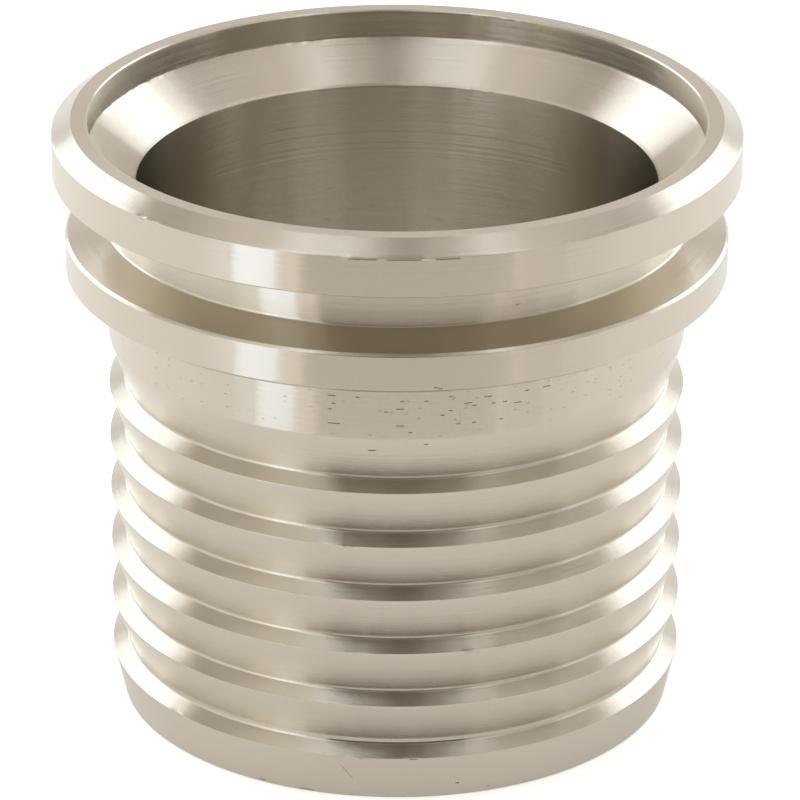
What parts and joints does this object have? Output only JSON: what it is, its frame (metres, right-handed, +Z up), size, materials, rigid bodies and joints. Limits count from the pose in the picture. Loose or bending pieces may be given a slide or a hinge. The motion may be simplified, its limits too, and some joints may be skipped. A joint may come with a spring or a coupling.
{
  "type": "weld-on hose tail",
  "caption": "Turned steel hose tail: bevelled weld flange, clamp groove and collar, plain shank, sawtooth barbs and a straight through bore with a funnelled mouth.",
  "frame": {"origin": "centre of the hose end, where the part stands", "axes": "+Z up along the bore, from the hose end to the weld face; any +X, because the part is round"},
  "size_m": [0.0888, 0.0888, 0.0798],
  "materials": {
    "turned_steel": "finely turned, with circular tool marks"
  },
  "bodies": {
    "root": {"hose_tail": "turned_steel"}
  },
  "joints": []
}
